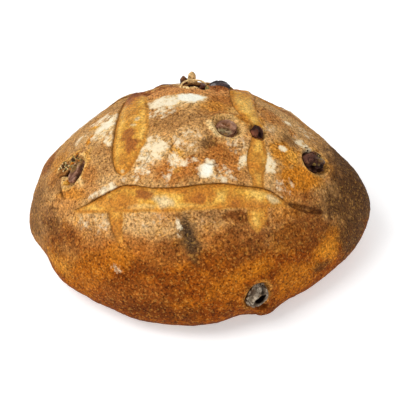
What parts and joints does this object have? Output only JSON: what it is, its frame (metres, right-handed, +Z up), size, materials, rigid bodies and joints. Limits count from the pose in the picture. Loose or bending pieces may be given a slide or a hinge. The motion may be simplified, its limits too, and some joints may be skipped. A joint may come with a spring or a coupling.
{
  "type": "olive sourdough loaf",
  "caption": "Round sourdough loaf scored with a hash of slashes, with pitted black olives baked into a blistered golden-brown crust and a flat base to rest on.",
  "frame": {"origin": "middle of the flat base that the loaf stands on", "axes": "+X along the loaf's longest way, +Y towards the back, +Z up"},
  "size_m": [0.2429, 0.2129, 0.109],
  "materials": {
    "crust": "baked bread crust, dry and matt, golden brown with pale floury bloom, amber blisters and charred patches",
    "olive": "baked black olive, wrinkled skin with a dull shine, grey and mauve where it dried"
  },
  "bodies": {
    "root": {"loaf": "crust", "olive_left": "olive", "olive_upper": "olive", "olive_slash": "olive", "olive_right": "olive", "olive_front": "olive", "olive_crest": "olive", "olive_crest_chip": "olive", "olive_crest_sliver": "olive", "olive_back_left": "olive", "olive_back_right": "olive"}
  },
  "joints": []
}
